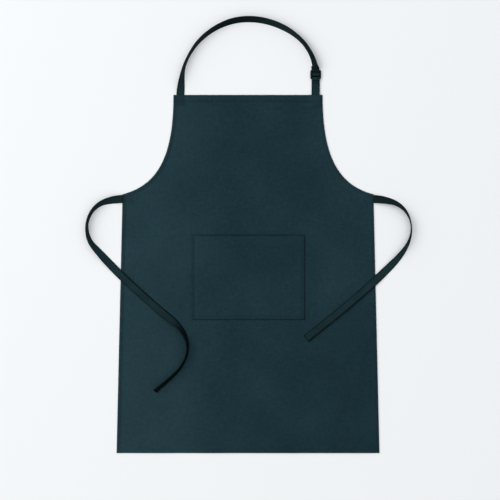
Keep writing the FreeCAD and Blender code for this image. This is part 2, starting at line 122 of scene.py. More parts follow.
def panel_outline(step):
    """Points round the panel, counter-clockwise from the right-hand foot, about a step apart."""
    reach = SHOULDER_HALF - BIB_HALF
    pull = 0.80 * reach
    arm = [
        (SHOULDER_HALF, SHOULDER_Y),
        (SHOULDER_HALF - pull, SHOULDER_Y + pull * math.tan(math.radians(ARMHOLE_SLOPE))),
        (BIB_HALF, BIB_Y - 0.52 * (BIB_Y - SHOULDER_Y)),
        (BIB_HALF, BIB_Y),
    ]

    def straight(a, b):
        n = max(2, int(math.dist(a, b) / step))
        t = np.linspace(0, 1, n, endpoint=False)[:, None]
        return np.array(a) * (1 - t) + np.array(b) * t

    dense = bezier(arm, np.linspace(0, 1, 400))
    run = np.concatenate([[0], np.cumsum(np.linalg.norm(np.diff(dense, axis=0), axis=1))])
    along = np.linspace(0, run[-1], int(run[-1] / step) + 1)
    armhole = np.stack([np.interp(along, run, dense[:, 0]), np.interp(along, run, dense[:, 1])], 1)
    right = np.concatenate([straight((HEM_HALF, HEM_Y), (SHOULDER_HALF, SHOULDER_Y)), armhole[:-1]])
    top = straight((BIB_HALF, BIB_Y), (-BIB_HALF, BIB_Y))
    left_side = straight((-SHOULDER_HALF, SHOULDER_Y), (-HEM_HALF, HEM_Y))
    left = np.concatenate([armhole[::-1] * (-1, 1), left_side[1:]])
    bottom = straight((-HEM_HALF, HEM_Y), (HEM_HALF, HEM_Y))
    return np.concatenate([right, top, left, bottom]), armhole


OUTLINE, ARMHOLE = panel_outline(5.0)


def distance_to(points, polyline, closed):
    """Each point's distance to a polyline."""
    a = np.asarray(polyline, float)
    b = np.roll(a, -1, axis=0)
    if not closed:
        a, b = a[:-1], b[:-1]
    best = np.full(len(points), 1e9)
    for i in range(len(a)):
        d = b[i] - a[i]
        t = np.clip(((points - a[i]) @ d) / (d @ d), 0, 1)
        best = np.minimum(best, np.hypot(*(points - a[i] - t[:, None] * d).T))
    return best


def points_in(points, outline):
    """Which points lie inside an outline."""
    inside = np.zeros(len(points), bool)
    x, y = points[:, 0], points[:, 1]
    for (x0, y0), (x1, y1) in zip(outline, np.roll(outline, -1, axis=0)):
        if y0 == y1:
            continue
        cross = (y0 > y) != (y1 > y)
        inside ^= cross & (x < (x1 - x0) * (y - y0) / (y1 - y0) + x0)
    return inside


# The two sides and armholes are one hem each; the bib's and the bottom's edges are straight.
SIDE_LINE = np.concatenate([[(HEM_HALF, HEM_Y)], ARMHOLE])


def side_distance(p):
    """Distance in from the nearer side or armhole."""
    return distance_to(np.abs(p) * (1, 0) + p * (0, 1), SIDE_LINE, False)


# ------------------------------------------------------------------ the webbing's routes

# Rows are x, y, lean and ground. A lean in degrees raises the left-hand edge, or the right-hand one if it
# is negative. The ground is the height that the neck strap rests at. The ties' own height is worked out in
# ground_below(), so there it only counts towards the distance from point to point.
PANEL = 2.5  # the ground on the panel
TIE_ROOT = 315.35  # where the ties leave the panel, on both sides
NECK_ROUTE = [(-STRAP_X + x, BIB_Y + 1.3 + y, a, g) for x, y, a, g in [
    (0, 0, 0, 0), (3, 41, 58, 0), (13, 82, 79, 0), (42, 130, 69, 0), (86, 166, 62, 0), (140, 187, 50, 0),
]] + [(STRAP_X + x, BIB_Y + 0.5 + y, a, g) for x, y, a, g in [
    (-138, 188, 49, 0), (-80, 169, 54, 0), (-34, 136, 68, 0), (-9, 98, 64, 0), (0, 64.9, 48, 1.3),
    (0, 59.5, 44, 1.3),
]]
LEFT_ROUTE = [(-TIE_ROOT + x, TIE_Y + y, a, g) for x, y, a, g in [
    (0, 0, 0, 0), (-40, -3, -48, 0), (-73.5, -26.5, -70, 0), (-88.5, -63.5, -79, 0), (-82, -104.5, -62, 0),
    (-56, -134, -33, 0), (-18, -176, 0, PANEL), (41, -232, 7, PANEL), (101, -284, -6, PANEL),
    (150, -322, -50, PANEL), (169, -367, -75, PANEL), (155, -414, -72, PANEL), (119, -451, -63, PANEL),
    (83, -480, -56, PANEL),
]]
RIGHT_ROUTE = [(TIE_ROOT + x, TIE_Y + y, a, g) for x, y, a, g in [
    (0, 0, 0, 0), (41, -3, -42, 0), (77, -25, -62, 0), (94, -63, -79, 0), (89, -105, -66, 0),
    (63, -145, -36, 0), (16, -192, 0, PANEL), (-41, -244, 8, PANEL), (-105, -297, 10, PANEL),
    (-170, -349, 8, PANEL),
]]


def spline_through(rows):
    """Points of a NURBS spline that has these control points, in millimetres."""
    curve = bpy.data.curves.new("route", "CURVE")
    curve.dimensions = "3D"
    curve.resolution_u = 16
    spline = curve.splines.new("NURBS")
    spline.points.add(len(rows) - 1)
    for point, row in zip(spline.points, rows):
        point.co = (row[0] / 1000, row[1] / 1000, row[2] / 1000, 1)
    spline.order_u = 3
    spline.use_endpoint_u = True
    obj = bpy.data.objects.new("route", curve)
    mesh = bpy.data.meshes.new_from_object(obj)
    points = np.array([v.co for v in mesh.vertices]) * 1000
    bpy.data.objects.remove(obj)
    bpy.data.curves.remove(curve)
    bpy.data.meshes.remove(mesh)
    return points


def evenly(points, extra, step):
    """The same line with its points a step apart; extra holds a value for each point."""
    run = np.concatenate([[0], np.cumsum(np.linalg.norm(np.diff(points, axis=0), axis=1))])
    keep = np.concatenate([[True], np.diff(run) > 1e-6])
    along = np.linspace(0, run[-1], int(run[-1] / step) + 1)
    at = [np.interp(along, run[keep], points[keep, i]) for i in range(points.shape[1])]
    return np.stack(at, 1), np.interp(along, run[keep], extra[keep]), along


def follow_route(route, step=3.0):
    """Plan points, leans and distances along the spline of a route."""
    plan = spline_through([(x, y, g) for x, y, a, g in route])
    lean = spline_through([(a, 0, 0) for x, y, a, g in route])[:, 0]
    return evenly(plan, lean, step)


FLAT_BELOW, LEANS_ABOVE, FAR_ABOVE = 511.0, 520.0, 600.0
neck_plan, neck_lean, neck_run = follow_route(NECK_ROUTE, 2.0)
# on the right-hand side the strap comes flat just before the slider
right_y = np.where(neck_plan[:, 0] > 0, neck_plan[:, 1], FAR_ABOVE)
neck_lean = neck_lean * smooth_step(FLAT_BELOW, LEANS_ABOVE, right_y)
left_plan, left_lean, _ = follow_route(LEFT_ROUTE)
right_plan, right_lean, _ = follow_route(RIGHT_ROUTE)

# ------------------------------------------------------------------ heights of the cloth

# Webbing sewn behind the cloth: its left, right, lower and upper edge, and how far it lifts the cloth.
SEWN = [
    (-179.0, -159.0, 422.5, 447.5, 1.0),
    (159.0, 179.0, 422.5, 447.5, 3.3),
    (-313.7, -288.6, 177.5, 197.5, 1.0),
    (288.6, 313.7, 177.5, 197.5, 1.0),
]

# Soft swells of the cloth: middle, direction in degrees, half-length, half-width, height.
SWELLS = [
    (238, -300, 62, 110, 16, 2.2),
    (282, -215, 74, 90, 13, 1.6),
    (180, -365, 38, 90, 18, 1.8),
    (70, -300, 20, 120, 26, 1.2),
    (-120, -250, 150, 110, 28, 1.0),
    (-255, -330, 105, 90, 22, 1.3),
    (-60, 250, 100, 110, 30, 1.1),
    (95, 290, 65, 100, 24, 1.0),
    (20, 150, 10, 120, 24, 0.9),
    (-215, 60, 95, 90, 20, 1.0),
    (225, 110, 80, 90, 20, 1.2),
]
# Finer unevenness all over: direction in radians, wavelength, phase.
rng = np.random.default_rng(7)
RIPPLES = [(rng.uniform(0, math.pi), rng.uniform(60, 190), rng.uniform(0, 6.28)) for _ in range(10)]
RIPPLE_HEIGHT = 0.10
MEAN_LIFT = 0.45


def lift(p):
    """How far the cloth rises off the surface it lies on, at each point of the plan."""
    p = np.asarray(p, float)
    z = np.full(len(p), MEAN_LIFT)
    for angle, wave, phase in RIPPLES:
        along = p[:, 0] * math.cos(angle) + p[:, 1] * math.sin(angle)
        z += RIPPLE_HEIGHT * np.sin(along * 6.283 / wave + phase)
    z = np.maximum(z, 0)
    for x, y, angle, half_length, half_width, height in SWELLS:
        c, s = math.cos(math.radians(angle)), math.sin(math.radians(angle))
        u = (p[:, 0] - x) * c + (p[:, 1] - y) * s
        bent = 0.0018 * u * u
        v = -(p[:, 0] - x) * s + (p[:, 1] - y) * c + bent
        z += height * np.exp(-((u / half_length) ** 2) - (v / half_width) ** 2)
    near = np.full(len(p), 1e9)
    for plan in (left_plan, right_plan):
        near = np.minimum(near, distance_to(p, plan[::3, :2], False))
    clear_of_ties = smooth_step(12, 40, near)
    edge = np.minimum(side_distance(p), BIB_Y - p[:, 1])
    return z * clear_of_ties * (0.25 + 0.75 * smooth_step(0, 30, edge))


def cloth_thickness(p):
    """The panel's thickness, which is more at its hems and dips along their seams."""
    p = np.asarray(p, float)
    side = side_distance(p)
    top, bottom = BIB_Y - p[:, 1], p[:, 1] - HEM_Y
    hem = 1 - smooth_step(SIDE_HEM - 0.6, SIDE_HEM + 2.6, side)
    hem = np.maximum(hem, 1 - smooth_step(BIB_HEM - 0.6, BIB_HEM + 2.6, top))
    hem = np.maximum(hem, 1 - smooth_step(BOTTOM_HEM - 0.6, BOTTOM_HEM + 2.6, bottom))
    z = SINGLE + (HEM - SINGLE) * hem
    for distance, width in ((side, SIDE_HEM), (top, BIB_HEM), (bottom, BOTTOM_HEM)):
        seam = width - SEAM_FROM_FOLD
        z -= 0.32 * np.exp(-(((distance - seam) / 1.1) ** 2))
        z += 0.16 * np.exp(-(((distance - seam + 3.2) / 1.6) ** 2))
    return np.maximum(z, HEM * (sewn_under(p) > 0.3))


def sewn_under(p):
    """How far the cloth is lifted by the webbing sewn behind it."""
    p = np.asarray(p, float)
    z = np.zeros(len(p))
    for x0, x1, y0, y1, height in SEWN:
        beyond = np.hypot(
            np.maximum(np.maximum(x0 - p[:, 0], p[:, 0] - x1), 0),
            np.maximum(np.maximum(y0 - p[:, 1], p[:, 1] - y1), 0),
        )
        z = np.maximum(z, height * (1 - smooth_step(0.6, 2.4 + height, beyond)))
    return z


def cloth_bottom(p):
    """The height of the panel's underside."""
    return lift(p) + sewn_under(p)


def cloth_top(p):
    """The height of the panel's upper face."""
    return cloth_bottom(p) + cloth_thickness(p)


def groove(distance, at, width, depth):
    """A factor that is 1 - depth at one distance and 1 well away from it."""
    return 1 - depth * np.exp(-(((distance - at) / width) ** 2))


def beyond_pocket(p):
    """Signed distances outside the pocket's left, right, lower and upper edges, and from its outline."""
    x0, x1, y0, y1 = POCKET
    left, right, low, high = x0 - p[:, 0], p[:, 0] - x1, y0 - p[:, 1], p[:, 1] - y1
    out = np.hypot(np.maximum(np.maximum(left, right), 0), np.maximum(np.maximum(low, high), 0))
    within = np.maximum(np.maximum(left, right), np.maximum(low, high))
    return left, right, low, high, np.where(out > 0, out, within)


def inside_of(p, x0, x1, y0, y1):
    """Distance in from the nearest edge of a rectangle, negative outside it."""
    return np.minimum(np.minimum(p[:, 0] - x0, x1 - p[:, 0]), np.minimum(p[:, 1] - y0, y1 - p[:, 1]))


def panel_painted_shading(p):
    """Painted shade in lines along the seams and round the pocket, and a darker patch over two of the sewn
    ends.
    """
    side, top, bottom = side_distance(p), BIB_Y - p[:, 1], p[:, 1] - HEM_Y
    left_hand = smooth_step(60, -60, p[:, 0])
    tone = 1 - (0.13 + 0.11 * left_hand) * np.exp(-(((side - 5.8) / 2.3) ** 2))
    tone *= groove(top, 16.0, 2.2, 0.09) * groove(bottom, 9.0, 1.5, 0.07)
    left, right, low, high, out = beyond_pocket(p)
    tone *= 1 - 0.62 * np.exp(-((out / 1.7) ** 2)) * smooth_step(-1.5, 0.0, right)
    tone *= 1 - 0.46 * np.exp(-((out / 1.6) ** 2)) * smooth_step(-1.5, 0.0, low)
    tone *= 1 - 0.40 * np.exp(-((out / 2.2) ** 2)) * smooth_step(-1.5, 0.0, high)
    tone *= 1 - 0.12 * np.exp(-((out / 5.0) ** 2)) * smooth_step(-1.5, 0.0, left)
    x0, x1, y0, y1, _ = SEWN[0]
    tone *= 1 - 0.20 * smooth_step(-1.0, 2.0, inside_of(p, x0 - 5, x1 + 1, y0 - 2, y1))
    x0, x1, y0, y1, _ = SEWN[2]
    return tone * (1 - 0.10 * smooth_step(-1.0, 2.0, inside_of(p, x0, x1, y0, y1)))


def painted_light_gradient(p):
    """Painted light and shade: the cloth is a little lighter towards the left, where the light comes from,
    and darker low on the right.
    """
    lighter = 0.155 * smooth_step(-20, -250, p[:, 0])
    lighter += 0.035 * smooth_step(-60, -250, p[:, 1]) * (1 - smooth_step(120, 230, p[:, 0]))
    lighter += 0.045 * smooth_step(120, 220, p[:, 0]) * smooth_step(-150, -50, p[:, 1])
    return lighter - 0.06 * smooth_step(60, 260, p[:, 0] - 0.3 * p[:, 1]) * smooth_step(50, -250, p[:, 1])


# ------------------------------------------------------------------ sheets


def filled(outline, rings, grid, more):
    """Points and triangles inside an outline: rings at set distances in from it, a grid, and more."""
    outline = np.asarray(outline, float)
    before, after = np.roll(outline, 1, axis=0), np.roll(outline, -1, axis=0)
    d1 = outline - before
    d2 = after - outline
    d1 /= np.linalg.norm(d1, axis=1)[:, None]
    d2 /= np.linalg.norm(d2, axis=1)[:, None]
    n1, n2 = np.stack([-d1[:, 1], d1[:, 0]], 1), np.stack([-d2[:, 1], d2[:, 0]], 1)
    inward = (n1 + n2) / (1 + np.sum(n1 * n2, axis=1))[:, None]
    extra = []
    for distance in rings:
        ring = outline + inward * distance
        extra.append(ring[distance_to(ring, outline, True) > distance * 0.985])
    low, high = outline.min(0), outline.max(0)
    gx = np.arange(low[0] + grid * 0.5, high[0], grid)
    gy = np.arange(low[1] + grid * 0.5, high[1], grid)
    field = np.stack(np.meshgrid(gx, gy), -1).reshape(-1, 2)
    ring_reach = rings[-1] + grid * 0.45
    inside = points_in(field, outline)
    field = field[inside]
    field = field[distance_to(field, outline, True) > ring_reach]
    if len(more):
        field = field[[np.abs(more - f).max(1).min() > grid * 0.3 for f in field]]
        extra.append(more)
    points = np.concatenate([outline] + extra + [field])
    border = [(i, (i + 1) % len(outline)) for i in range(len(outline))]
    verts, _, faces, *_ = delaunay_2d_cdt([Vector(p) for p in points], border, [], 1, 1e-4)
    return np.array([tuple(v) for v in verts]), [tuple(f) for f in faces]


def sheet_object(name, outline, rings, grid, bottom, thickness, rounding, painted_shading, more=()):
    """A closed sheet of cloth between bottom(p) and bottom(p) + thickness(p), with a rounded edge.
    The function given after rounding paints shade, and in places light, into its colour, and more holds
    further points of its mesh."""
    plan, faces = filled(outline, rings, grid, more)
    edge = distance_to(plan, outline, True)
    border = edge < 1e-3
    round_off = np.sqrt(np.clip(1 - (1 - np.clip(edge / rounding, 0, 1)) ** 2, 0, 1))
    base, thick = bottom(plan), thickness(plan)
    middle = base + thick / 2
    top = middle + thick / 2 * round_off
    under = middle - thick / 2 * round_off
    low_index = np.arange(len(plan)) + len(plan)
    low_index[border] = np.arange(len(plan))[border]
    verts = np.concatenate([np.column_stack([plan, top]), np.column_stack([plan, under])])
    faces_all = list(faces) + [tuple(int(low_index[i]) for i in reversed(f)) for f in faces]
    used = sorted({i for f in faces_all for i in f})
    renumber = {old: new for new, old in enumerate(used)}
    faces_all = [tuple(renumber[i] for i in f) for f in faces_all]
    verts = verts[used]
    obj = mesh_object(name, verts, faces_all, uvs=verts[:, :2] / 1000)
    # painted shade and painted light, kept as attributes of the mesh's points
    for attribute, value in (("painted_shading", painted_shading(verts[:, :2])), ("painted_light_gradient", painted_light_gradient(verts[:, :2]))):
        layer = obj.data.attributes.new(attribute, "FLOAT", "POINT")
        layer.data.foreach_set("value", value)
    return obj


# Distances in from the edge, closer together where a hem's fold and seam are.
RINGS = [
    0.35, 0.9, 1.8, 3.0, 4.2, 5.2, 6.0, 6.5, 7.0, 7.8, 8.8, 9.8, 10.8, 12.2, 13.6, 14.5, 15.4, 16.6, 18.2,
    20.5,
]
GRID = 7.0


def rectangle_points(box, beyond, step):
    """Points round a rectangle that is larger than the box by a distance on every side."""
    x0, x1, y0, y1 = box[0] - beyond, box[1] + beyond, box[2] - beyond, box[3] + beyond
    xs = np.linspace(x0, x1, int((x1 - x0) / step) + 1)
    ys = np.linspace(y0, y1, int((y1 - y0) / step) + 1)[1:-1]
    rows = [np.stack([xs, np.full(len(xs), y)], 1) for y in (y0, y1)]
    rows += [np.stack([np.full(len(ys), x), ys], 1) for x in (x0, x1)]
    return np.concatenate(rows)


round_pocket = [rectangle_points(POCKET, beyond, 3.5) for beyond in (-1.2, 0.0, 1.0, 2.0, 3.2, 5.0)]
panel = sheet_object(
    "cloth_panel", OUTLINE, RINGS, GRID, cloth_bottom, cloth_thickness, 0.9, panel_painted_shading,
    np.concatenate(round_pocket),
)
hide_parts("body_panel")
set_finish(panel, "canvas")
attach(panel, "apron")

# ------------------------------------------------------------------ pocket


def pocket_outline(step):
    """The pocket's outline, with its two upper corners cut."""
    x0, x1, y0, y1 = POCKET
    corners = [(x0, y0), (x1, y0), (x1, y1 - 4), (x1 - 4, y1), (x0 + 4, y1), (x0, y1 - 4)]
    points = []
    for a, b in zip(corners, corners[1:] + corners[:1]):
        n = max(1, int(math.dist(a, b) / step))
        points += [tuple(np.array(a) + (np.array(b) - np.array(a)) * i / n) for i in range(n)]
    return np.array(points)


def pocket_side(p):
    """Distance in from the pocket's sides and bottom."""
    x0, x1, y0, y1 = POCKET
    return np.minimum(np.minimum(p[:, 0] - x0, x1 - p[:, 0]), p[:, 1] - y0)


def pocket_bottom(p):
    """The pocket lies on the panel, and its mouth stands a little off it."""
    middle = np.exp(-((p[:, 0] / 90) ** 2)) * (0.5 + 0.5 * np.cos(p[:, 0] / 31))
    mouth = smooth_step(24, 0, POCKET[3] - p[:, 1]) * smooth_step(3, 30, pocket_side(p))
    swell = smooth_step(6, 60, pocket_side(p)) * smooth_step(-110, -20, p[:, 1])
    return lift(p) + SINGLE + 0.05 + mouth * (0.35 + 0.5 * middle) + 0.7 * swell


def pocket_thickness(p):
    """One layer, more where it is turned in and at the mouth's hem, with a dip along each row of stitches."""
    side, top = pocket_side(p), POCKET[3] - p[:, 1]
    turned = 1 - smooth_step(11.4, 14.0, side)
    mouth = 1 - smooth_step(27.4, 30.0, top)
    z = SINGLE + 0.6 * np.maximum(turned, 0.75 * mouth)
    z -= 0.30 * np.exp(-(((side - 2.0) / 1.0) ** 2))
    z -= 0.30 * np.exp(-(((side - 8.0) / 1.0) ** 2))
    z += 0.18 * np.exp(-(((side - 5.0) / 1.6) ** 2))
    z -= 0.25 * np.exp(-(((top - 26.5) / 1.0) ** 2)) * smooth_step(6, 9, side)
    return z


def pocket_top(p):
    """The height of the pocket's upper face."""
    return pocket_bottom(p) + pocket_thickness(p)


def pocket_painted_shading(p):
    """Painted shade along the pocket's edges and beside its rows of stitches, and one painted highlight line.
    """
    left, right, low, high, out = beyond_pocket(p)
    tone = groove(-right, 0.0, 1.2, 0.55) * groove(-right, 6.5, 3.2, 0.09) * groove(-low, 0.0, 1.2, 0.44)
    tone *= groove(-high, 0.0, 2.4, 0.34) * groove(-left, 2.2, 2.6, 0.24) * groove(-left, 9.4, 2.6, -0.13)
    return tone * groove(-high, 27.5, 2.0, 0.06) * groove(-low, 8.0, 1.4, 0.07)


POCKET_RINGS = [
    0.35, 0.9, 1.5, 2.0, 2.5, 3.4, 4.4, 5.6, 6.8, 7.5, 8.0, 8.5, 9.4, 10.6, 11.6, 12.8, 14.2, 16.5,
]
POCKET_GRID = 5.0
pocket = sheet_object(
    "pocket_cloth", pocket_outline(4.0), POCKET_RINGS, POCKET_GRID, pocket_bottom, pocket_thickness, 0.7,
    pocket_painted_shading,
)
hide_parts("pocket")
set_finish(pocket, "canvas")
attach(pocket, "apron")

# ------------------------------------------------------------------ woven tape

# The tape's section, as shares of its half-width and half-thickness: two thicker selvedges
# and a field with shallow ribs between them.
SECTION_TOP = [
    (-1.0, 0.0), (-0.985, 0.55), (-0.95, 0.92), (-0.90, 1.0), (-0.84, 0.94), (-0.80, 0.74), (-0.62, 0.80),
    (-0.42, 0.84), (-0.22, 0.80), (0.0, 0.85), (0.22, 0.80), (0.42, 0.84), (0.62, 0.80), (0.80, 0.74),
    (0.84, 0.94), (0.90, 1.0), (0.95, 0.92), (0.985, 0.55),
]
SECTION = SECTION_TOP + [(-s, -t) for s, t in SECTION_TOP]
# Plain tape has painted shade along both edges.
PLAIN_TONES = [(0, 1.0, 0.7, 0.7)]
UNDERSIDE_TONE = 0.65  # the underside is no darker than this


def tape(
    name, centres, acrosses, width=20.0, thickness=1.0, start_run=0.0, thick_at=None, tones=PLAIN_TONES,
    end=False,
):
    """Woven tape: a section at every centre, square to the line. thick_at(distance) scales its thickness,
    by the distance to its end. tones are rows of a run and its painted light and shade there, as factors
    on its colour in the middle, at the left and at the right edge. With end, its last 3 mm have painted
    shade."""
    centres, acrosses = np.asarray(centres, float), np.asarray(acrosses, float)
    count, around = len(centres), len(SECTION)
    ahead = np.gradient(centres, axis=0)
    ahead /= np.linalg.norm(ahead, axis=1)[:, None]
    wide = acrosses - ahead * np.sum(acrosses * ahead, axis=1)[:, None]
    wide /= np.linalg.norm(wide, axis=1)[:, None]
    thick = np.cross(ahead, wide)
    run = np.concatenate([[0], np.cumsum(np.linalg.norm(np.diff(centres, axis=0), axis=1))])
    verts, uvs, faces, painted_shading = [], [], [], []
    tones = np.array(tones)
    for i in range(count):
        scale = thick_at(run[-1] - run[i]) if thick_at else 1.0
        tone, left, right = [np.interp(start_run + run[i], tones[:, 0], tones[:, k]) for k in (1, 2, 3)]
        # painted shade over the last few millimetres at a tie's tip
        darker = 1 - 0.75 * float(smooth_step(3.6, 1.2, run[-1] - run[i])) if end else 1.0
        for s, t in SECTION:
            # the painted light and shade of the middle blends into that of each edge; the underside keeps
            # less of the shade
            selvedge = float(smooth_step(0.62, 0.84, abs(s)))
            shade = tone + ((left if s > 0 else right) - tone) * selvedge
            painted_shading.append(darker * (shade if t >= 0 else max(shade, UNDERSIDE_TONE)))
            verts.append(centres[i] + wide[i] * s * width / 2 + thick[i] * t * thickness / 2 * scale)
            underside = 0.05 if t < 0 else 0
            uvs.append(((s + 1) * width / 2000 + underside, (start_run + run[i]) / 1000))
    for i in range(count - 1):
        for j in range(around):
            k = (j + 1) % around
            a, b = i * around, (i + 1) * around
            faces.append((a + j, b + j, b + k, a + k))
    for i, flip in ((0, False), (count - 1, True)):
        ring = [i * around + j for j in range(around)]
        faces.append(tuple(ring[::-1] if flip else ring))
    obj = mesh_object(name, verts, faces, uvs)
    # the painted light and shade go on the points as an attribute
    obj.data.attributes.new("painted_shading", "FLOAT", "POINT").data.foreach_set("value", painted_shading)
    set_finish(obj, "webbing")
    return obj


def rest_on(plan, lean, ground):
    """Centres and width directions of tape whose lower edge rests on the ground."""
    lean = np.radians(lean)
    ahead = np.gradient(plan[:, :2], axis=0)
    ahead /= np.linalg.norm(ahead, axis=1)[:, None]
    left = np.stack([-ahead[:, 1], ahead[:, 0], np.zeros(len(plan))], 1)
    rise = HALF_WEBBING * np.abs(np.sin(lean)) + HALF_THICK * np.abs(np.cos(lean))
    centres = np.column_stack([plan[:, :2], ground + rise])
    across = left * np.cos(lean)[:, None] + np.array([0, 0, 1]) * np.sin(lean)[:, None]
    return centres, across


def ground_below(plan, lean):
    """The height that tape lies at over the floor and the panel, eased where it goes onto the cloth."""
    ahead = np.gradient(plan[:, :2], axis=0)
    ahead /= np.linalg.norm(ahead, axis=1)[:, None]
    left = np.stack([-ahead[:, 1], ahead[:, 0]], 1)
    reach = 10.5 * np.abs(np.cos(np.radians(lean)))
    height = np.zeros(len(plan))
    for share in (-1, -0.5, 0, 0.5, 1):
        p = plan[:, :2] + left * (reach * share)[:, None]
        on = points_in(p, OUTLINE) | (distance_to(p, OUTLINE, True) < 1.5)
        height = np.maximum(height, np.where(on, cloth_top(p) + 0.15, 0))
    wide = np.array([height[max(0, i - 4): i + 5].max() for i in range(len(height))])
    return np.convolve(np.pad(wide, 4, mode="edge"), np.ones(9) / 9, mode="valid")


def ends_doubled(from_end):
    """How much thicker a tie is at its free end, which is turned back on itself and stitched."""
    return 1.0 + 0.75 * (1 - smooth_step(9.5, 11.5, from_end))


# ------------------------------------------------------------------ stitches


def stitches(name, line, pitch, height, nodes=(), size=(2.3, 0.62, 0.42), up=None):
    """A row of thread: one grain for each stitch. A line in the plan lies on height(p); a line in space has
    its stitches' upward direction in up. size is a stitch's length, width and height."""
    line = np.asarray(line, float)
    flat, _, _ = evenly(line, np.zeros(len(line)), pitch)
    rings, around = 5, 6
    verts, faces = [], []
    for a, b in zip(flat, flat[1:]):
        middle, ahead = (a + b) / 2, (b - a) / np.linalg.norm(b - a)
        if len(middle) == 2:
            probe = np.array([middle - ahead, middle + ahead])
            z = height(probe)
            ahead = np.array([ahead[0] * 2, ahead[1] * 2, z[1] - z[0]])
            ahead /= np.linalg.norm(ahead)
            middle = np.array([middle[0], middle[1], z.mean() + 0.06])
            normal = np.array([0, 0, 1.0])
        else:
            normal = np.asarray(up, float)
        side = np.cross(normal, ahead)
        side /= np.linalg.norm(side)
        over = np.cross(ahead, side)
        base = len(verts)
        for r in range(rings):
            u = -1 + 2 * r / (rings - 1)
            fat = math.sqrt(max(0.0, 1 - abs(u) ** 2.6)) * 0.9 + 0.1
            for k in range(around):
                angle = 2 * math.pi * k / around
                verts.append(
                    middle + ahead * u * size[0] / 2 + side * math.cos(angle) * fat * size[1] / 2
                    + over * (math.sin(angle) * fat * size[2] / 2 - 0.12 * u * u)
                )
        for r in range(rings - 1):
            for k in range(around):
                a0, b0, m = base + r * around, base + (r + 1) * around, (k + 1) % around
                faces.append((a0 + k, a0 + m, b0 + m, b0 + k))
        faces.append(tuple(base + k for k in reversed(range(around))))
        faces.append(tuple(base + (rings - 1) * around + k for k in range(around)))
    obj = mesh_object(name, verts, faces)
    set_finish(obj, "thread")
    if nodes:
        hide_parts(*nodes)
    return obj


def joined(name, objs, nodes):
    """Several rows as one piece that replaces the CAD's nodes."""
    verts, faces = [], []
    for o in objs:
        base = len(verts)
        verts += [tuple(v.co * 1000) for v in o.data.vertices]
        faces += [tuple(i + base for i in f.vertices) for f in o.data.polygons]
        mesh = o.data
        bpy.data.objects.remove(o)
        bpy.data.meshes.remove(mesh)
    obj = mesh_object(name, verts, faces)
    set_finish(obj, "thread")
    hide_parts(*nodes)
    return obj


def cloth_seam(name, line, node_name, height):
    """A row of stitches that goes with the cloth."""
    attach(stitches(name, line, STITCH, height, [node_name]), "apron")


def inset_line(line, distance):
    """A line moved to its left by a distance."""
    line = np.asarray(line, float)
    d = np.gradient(line, axis=0)
    d /= np.linalg.norm(d, axis=1)[:, None]
    return line + np.stack([-d[:, 1], d[:, 0]], 1) * distance


seam = SIDE_HEM - SEAM_FROM_FOLD
arm_line = inset_line(ARMHOLE, seam)
arm_line = arm_line[(arm_line[:, 1] > 201.5) & (arm_line[:, 1] < 417)]
side_line = np.array([(HEM_HALF - seam - 0.2, HEM_Y + 10.5), (SHOULDER_HALF - seam + 0.4, 172.5)])
for name, sign in (("right", 1), ("left", -1)):
    cloth_seam(f"armhole_seam_{name}", arm_line * (sign, 1), f"armhole_stitching_{name}", cloth_top)
    cloth_seam(f"side_seam_{name}", side_line * (sign, 1), f"side_hem_stitching_{name}", cloth_top)
bib_seam_y, bottom_seam_y = BIB_Y - BIB_HEM + SEAM_FROM_FOLD, HEM_Y + BOTTOM_HEM - SEAM_FROM_FOLD
cloth_seam("bib_seam", [(-155, bib_seam_y), (155, bib_seam_y)], "bib_hem_stitching", cloth_top)
cloth_seam("bottom_seam", [(-320, bottom_seam_y), (320, bottom_seam_y)], "bottom_hem_stitching", cloth_top)

BOX_INSET = 3
SEWN_NAMES = ("neck_strap", "buckle_tab", "waist_tie_left", "waist_tie_right")
for name, (x0, x1, y0, y1, _) in zip(SEWN_NAMES, SEWN):
    x0, x1, y0, y1 = x0 + BOX_INSET, x1 - BOX_INSET, y0 + BOX_INSET, y1 - BOX_INSET
    rows = [
        [(x0, y0), (x1, y0)], [(x1, y0), (x1, y1)], [(x1, y1), (x0, y1)], [(x0, y1), (x0, y0)],
        [(x0, y0), (x1, y1)], [(x1, y0), (x0, y1)],
    ]
    rows = [stitches(f"row_{i}", row, SHORT_STITCH, cloth_top) for i, row in enumerate(rows)]
    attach(joined(f"{name}_box_seam", rows, [f"{name}_box_stitch"]), "apron")

px0, px1, py0, py1 = POCKET
rows_top = py1 - 17.5
rows = []
for inset in (2.0, 8.0):
    low = py0 + inset
    line = [(px0 + inset, rows_top), (px0 + inset, low), (px1 - inset, low), (px1 - inset, rows_top)]
    for i in range(3):
        rows.append(stitches(f"row_{inset}_{i}", line[i: i + 2], STITCH, pocket_top))
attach(joined("pocket_edge_seams", rows, ["pocket_edge_stitching"]), "apron")
mouth_line = [(px0 + 9.5, py1 - 26.5), (px1 - 9.5, py1 - 26.5)]
cloth_seam("pocket_mouth_seam", mouth_line, "pocket_mouth_stitching", pocket_top)

# Each bartack is a zigzag of short stitches down from the corner.
TACK_X, TACK_PITCH, TACK_STITCH = 135.8, 0.8, (2.6, 0.75, 0.5)
tacks = []
for sign in (-1, 1):
    for k in range(15):
        y = py1 - 4.4 - k * TACK_PITCH
        x = sign * TACK_X
        row = [(x - 1.3, y), (x + 1.3, y + 0.25 * (-1) ** k)]
        tacks.append(stitches(f"tack_{sign}_{k}", row, SHORT_STITCH, pocket_top, size=TACK_STITCH))
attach(joined("pocket_tacks", tacks, ["pocket_bartacks"]), "apron")
